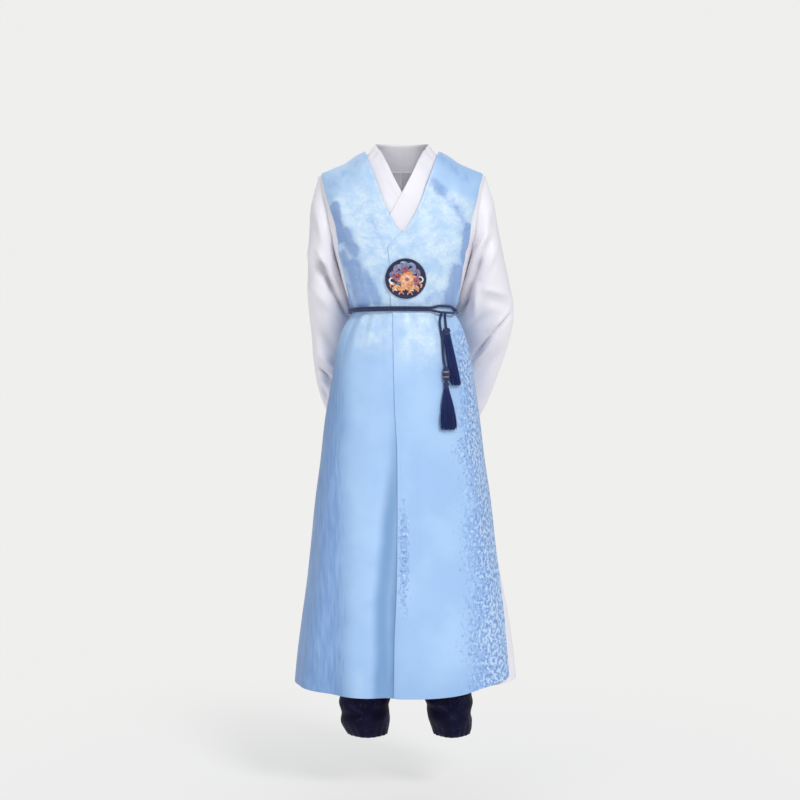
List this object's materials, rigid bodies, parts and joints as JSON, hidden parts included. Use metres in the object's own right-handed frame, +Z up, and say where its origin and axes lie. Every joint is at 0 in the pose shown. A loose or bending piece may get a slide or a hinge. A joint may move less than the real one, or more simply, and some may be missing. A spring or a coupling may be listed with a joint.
{
  "type": "korean hanbok",
  "caption": "Men's korean hanbok: long sleeveless wrap coat with side slits over a long-sleeved robe, cord belt with tassels, round chest badge, tied-in trousers.",
  "frame": {"origin": "middle of the neck opening at the height of the shoulder seams beside the neck, where the wearer's shoulders hold the coat and robe up", "axes": "+Z up along the wearer's body, +X to the wearer's left, -Y to the front of the garment"},
  "size_m": [0.4966, 0.3532, 1.3344],
  "materials": {
    "coat_brocade": "pale blue brocade satin",
    "robe_satin": "white satin",
    "navy_cord": "matt braided cord and tassel thread",
    "badge_cloth": "embroidered navy disc",
    "trouser_cloth": "dark navy satin"
  },
  "bodies": {
    "root": {"badge": "badge_cloth", "robe_collar": "robe_satin", "belt_cord_upper": "navy_cord", "belt_cord_lower": "navy_cord", "tassel_cord_short": "navy_cord", "tassel_cord_long": "navy_cord", "tassel_short": "navy_cord", "tassel_long": "navy_cord", "tassel_knot": "navy_cord", "trouser_waistband": "trouser_cloth", "trouser_hips": "trouser_cloth", "trouser_leg_upper_right": "trouser_cloth", "trouser_leg_lower_right": "trouser_cloth", "trouser_leg_upper_left": "trouser_cloth", "trouser_leg_lower_left": "trouser_cloth", "coat_front_top_right": "coat_brocade", "coat_front_skirt_right": "coat_brocade", "coat_front_top_left": "coat_brocade", "coat_front_skirt_left": "coat_brocade", "coat_back_top_right": "coat_brocade", "coat_back_skirt_right": "coat_brocade", "coat_back_top_left": "coat_brocade", "coat_back_skirt_left": "coat_brocade", "robe_front_top_right": "robe_satin", "robe_front_skirt_right": "robe_satin", "robe_front_top_left": "robe_satin", "robe_front_skirt_left": "robe_satin", "robe_back_top_right": "robe_satin", "robe_back_skirt_upper_right": "robe_satin", "robe_back_skirt_lower_right": "robe_satin", "robe_back_top_left": "robe_satin", "robe_back_skirt_upper_left": "robe_satin", "robe_back_skirt_lower_left": "robe_satin", "robe_sleeve_upper_right": "robe_satin", "robe_sleeve_lower_right": "robe_satin", "robe_sleeve_upper_left": "robe_satin", "robe_sleeve_lower_left": "robe_satin"}
  },
  "joints": []
}
